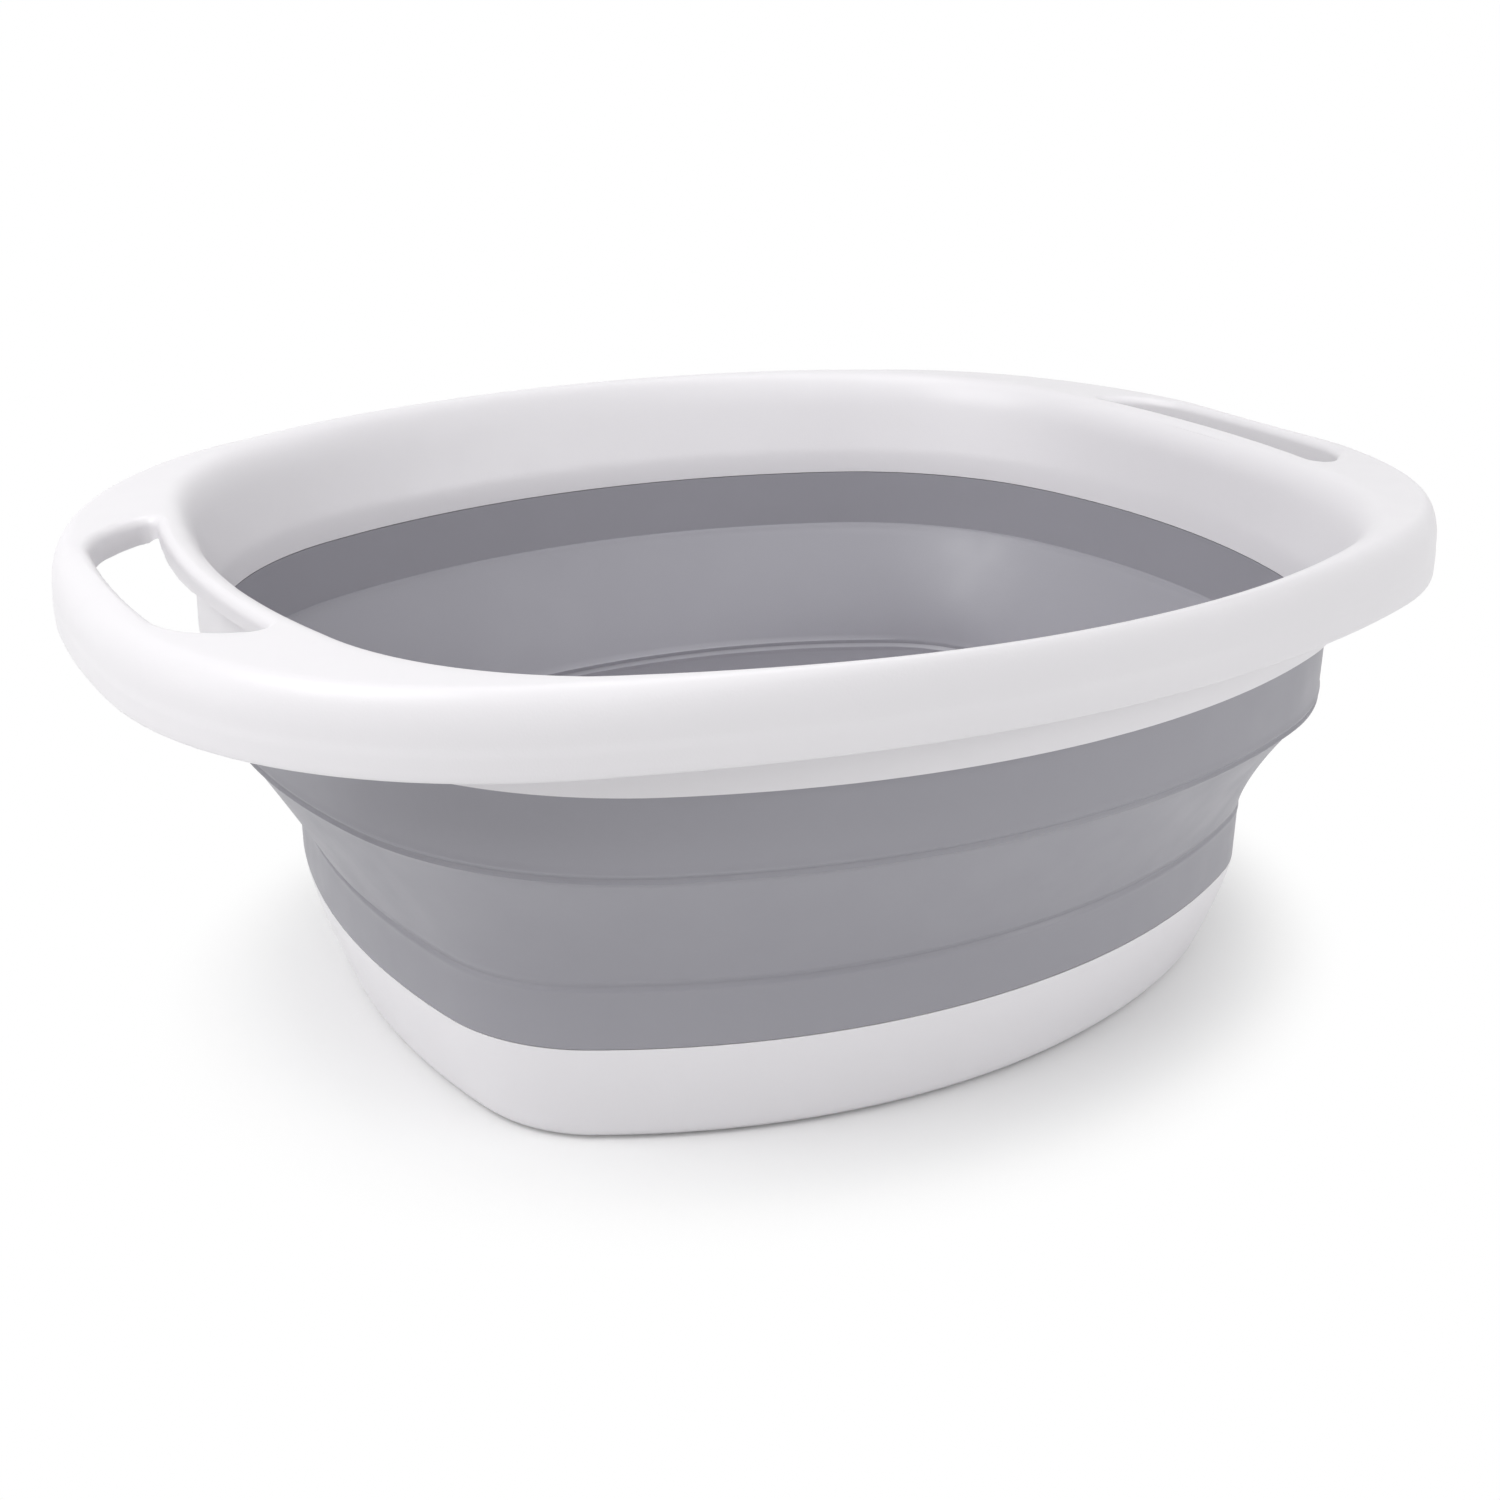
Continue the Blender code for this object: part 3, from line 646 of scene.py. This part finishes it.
def slot_outline():
    """The slot's outline as (point, outward direction) pairs, with its corners rounded."""
    outer = end_points(RIM_PLAN, GRIP_WIDTH, SLOT_OUTER_LENGTH, 8)
    inner = end_points(CREST_PLAN, -BAR_WIDTH, SLOT_INNER_LENGTH, 8)[::-1]
    corners = outer + slot_end(outer[-1], inner[0], 1) + inner + slot_end(inner[-1], outer[0], -1)
    bm = bmesh.new()
    verts = [bm.verts.new(point) for point in corners]
    bm.faces.new(verts)
    outer_corners = (verts[0], verts[len(outer) - 1])
    inner_corners = (verts[len(outer) + len(BULGE_STEPS)], verts[-len(BULGE_STEPS) - 1])
    for ends, radius in ((outer_corners, SLOT_OUTER_ROUND), (inner_corners, SLOT_INNER_ROUND)):
        bmesh.ops.bevel(
            bm, geom=ends, offset=radius, segments=8, profile=0.5, affect="VERTICES", material=-1
        )
    bm.faces.ensure_lookup_table()
    points = [vert.co.copy() for vert in bm.faces[0].verts]
    bm.free()
    outline = []
    for before, point, after in zip(points[-1:] + points, points, points[1:] + points[:1]):
        along = (point - before).normalized() + (after - point).normalized()
        outline.append((point, Vector((along.y, -along.x, 0)).normalized()))
    return outline


def slot_ring(outline, side, margin, depth, deeper):
    """A ring round the slot: margin outside it, depth under the rim, and deeper away from the bar."""
    def place(turn):
        point, outward = outline[round(turn * len(outline))]
        spot = point + margin * outward
        away = min(max((outward.x + BAR_FACING) / BAR_FADE, 0.0), 1.0)
        return Vector((side * spot.x, spot.y, RIM_TOP - depth - deeper * away - droop(spot.x)))
    return place


def slot_body(side, levels):
    """A solid on the slot's outline through levels of (margin, depth, deeper away from the bar)."""
    outline = slot_outline()
    rings = [slot_ring(outline, side, *level) for level in levels]
    return mould(rings, closed=False, points=len(outline))


deeper = END_DEPTH - BAR_DEPTH
return_wall = [(RIM_WALL - RETURN_EDGE, BAR_DEPTH, deeper)]
return_wall += [(RIM_WALL, BAR_DEPTH - RETURN_EDGE, deeper), (RIM_WALL, RIM_WALL / 2, 0)]
opening = [(0, CUT_DEPTH, 0)]
opening += [(EDGE_ROUND * (1 - a), EDGE_ROUND * (1 - u), 0) for a, u in quarter_turn(9)[:-1]]
opening.append((opening[-1][0] + CUT_SPREAD, -CUT_RISE, 0))
for side in (-1, 1):
    combine(rim, slot_body(side, return_wall), "UNION")
    combine(rim, slot_body(side, opening), "DIFFERENCE")
soften(rim.data)
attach(rim, "rim")
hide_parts("rim_frame")

# Studio: a plain pale floor that fades into a white surround, so that only the tub's own shadow
# shows on it. A large soft lamp up on the left shapes the tub, and weaker ones fill the rest.
AMBIENT = 0.34
FADE_START = 0.140
FADE_END = 0.215
FADE_STRETCH = (0.85, 1.0, 0.0)
FLOOR_HALF = 6.0
PAPER_WHITE = (0.93, 0.93, 0.93, 1.0)
LAMP_AIM = Vector((0, 0, 0.1))


def seen_as_backdrop(nodes, links):
    """1 for the rays that see the surround itself: from the camera, a reflection or clear plastic."""
    rays = nodes.new("ShaderNodeLightPath")
    direct = nodes.new("ShaderNodeMath")
    links.new(rays.outputs["Is Camera Ray"], direct.inputs[0])
    links.new(rays.outputs["Is Glossy Ray"], direct.inputs[1])
    seen = nodes.new("ShaderNodeMath")
    seen.use_clamp = True
    links.new(direct.outputs[0], seen.inputs[0])
    links.new(rays.outputs["Is Transmission Ray"], seen.inputs[1])
    return seen.outputs[0]


def pale_floor():
    """White paper near the tub, which the camera sees turn to plain white further out."""
    finish = bpy.data.materials.new("pale_floor")
    finish.use_nodes = True
    nodes, links = finish.node_tree.nodes, finish.node_tree.links
    paper = nodes["Principled BSDF"]
    paper.inputs["Base Color"].default_value = PAPER_WHITE
    paper.inputs["Roughness"].default_value = 0.8
    paper.inputs["Specular IOR Level"].default_value = 0.1
    place = nodes.new("ShaderNodeTexCoord")
    oval = nodes.new("ShaderNodeVectorMath")
    oval.operation = "MULTIPLY"
    oval.inputs[1].default_value = FADE_STRETCH
    reach = nodes.new("ShaderNodeVectorMath")
    reach.operation = "LENGTH"
    fade = nodes.new("ShaderNodeMapRange")
    fade.interpolation_type = "SMOOTHSTEP"
    fade.inputs["From Min"].default_value = FADE_START
    fade.inputs["From Max"].default_value = FADE_END
    share = nodes.new("ShaderNodeMath")
    share.operation = "MULTIPLY"
    glow = nodes.new("ShaderNodeEmission")
    blend = nodes.new("ShaderNodeMixShader")
    links.new(place.outputs["Object"], oval.inputs[0])
    links.new(oval.outputs["Vector"], reach.inputs[0])
    links.new(reach.outputs["Value"], fade.inputs["Value"])
    links.new(fade.outputs["Result"], share.inputs[0])
    links.new(seen_as_backdrop(nodes, links), share.inputs[1])
    links.new(share.outputs[0], blend.inputs["Fac"])
    links.new(paper.outputs["BSDF"], blend.inputs[1])
    links.new(glow.outputs["Emission"], blend.inputs[2])
    links.new(blend.outputs["Shader"], nodes["Material Output"].inputs["Surface"])
    return finish


ground = bmesh.new()
bmesh.ops.create_grid(ground, x_segments=1, y_segments=1, size=FLOOR_HALF)
floor_mesh = bpy.data.meshes.new("floor")
ground.to_mesh(floor_mesh)
ground.free()
floor_mesh.materials.append(pale_floor())
floor = bpy.data.objects.new("floor", floor_mesh)
bpy.context.scene.collection.objects.link(floor)

world = bpy.data.worlds.new("studio")
bpy.context.scene.world = world
world.use_nodes = True
nodes, links = world.node_tree.nodes, world.node_tree.links
surround = nodes["Background"]
surround.inputs["Color"].default_value = (1, 1, 1, 1)
level = nodes.new("ShaderNodeMapRange")
level.inputs["To Min"].default_value = AMBIENT
level.inputs["To Max"].default_value = 1.0
links.new(seen_as_backdrop(nodes, links), level.inputs["Value"])
links.new(level.outputs["Result"], surround.inputs["Strength"])


def soft_lamp(name, place, size, watts):
    """A round soft box that faces the tub."""
    light = bpy.data.lights.new(name, "AREA")
    light.shape = "DISK"
    light.size = size
    light.energy = watts
    lamp = bpy.data.objects.new(name, light)
    lamp.location = place
    lamp.rotation_euler = (LAMP_AIM - Vector(place)).to_track_quat("-Z", "Y").to_euler()
    bpy.context.scene.collection.objects.link(lamp)


soft_lamp("key", (-1.3, -0.1, 1.5), 1.3, 20.5)
soft_lamp("left_edge", (-1.6, 0.45, 0.4), 0.7, 1.5)
soft_lamp("front_fill", (0.0, -1.4, 1.5), 1.3, 4.5)
soft_lamp("right_fill", (1.2, -1.5, 0.65), 1.2, 8.5)
soft_lamp("overhead", (0.1, 0.1, 2.1), 1.3, 12.0)
bpy.context.scene.view_settings.view_transform = "Standard"

# Camera: at the photograph's place, a little above the rim and turned towards the left handle.
# It is set by its direction from a point inside the tub, and its lens by the frame's width.
VIEW_ANGLES = (-30.167, 22.403, 0.5)
VIEW_HEIGHT = 0.07898
VIEW_LEFT = 0.0075
VIEW_DISTANCE = 0.77158
FRAME_WIDTH = 1500
FOCAL_PIXELS = 1919.5
SENSOR = 36.0
azimuth, elevation, roll = (math.radians(angle) for angle in VIEW_ANGLES)
outward = Vector((math.sin(azimuth), -math.cos(azimuth), 0))
back = outward * math.cos(elevation) + Vector((0, 0, math.sin(elevation)))
level_right = Vector((math.cos(azimuth), math.sin(azimuth), 0))
level_up = back.cross(level_right)
right = level_right * math.cos(roll) + level_up * math.sin(roll)
up = level_up * math.cos(roll) - level_right * math.sin(roll)
stand = Vector((0, 0, VIEW_HEIGHT)) - VIEW_LEFT * level_right + VIEW_DISTANCE * back
lens = bpy.data.cameras.new("camera")
lens.sensor_width = SENSOR
lens.lens = SENSOR * FOCAL_PIXELS / FRAME_WIDTH
lens.clip_start = 0.01
camera = bpy.data.objects.new("camera", lens)
camera.matrix_world = Matrix((right, up, back)).transposed().to_4x4()
camera.location = stand
bpy.context.scene.collection.objects.link(camera)
bpy.context.scene.camera = camera

bpy.context.view_layer.update()
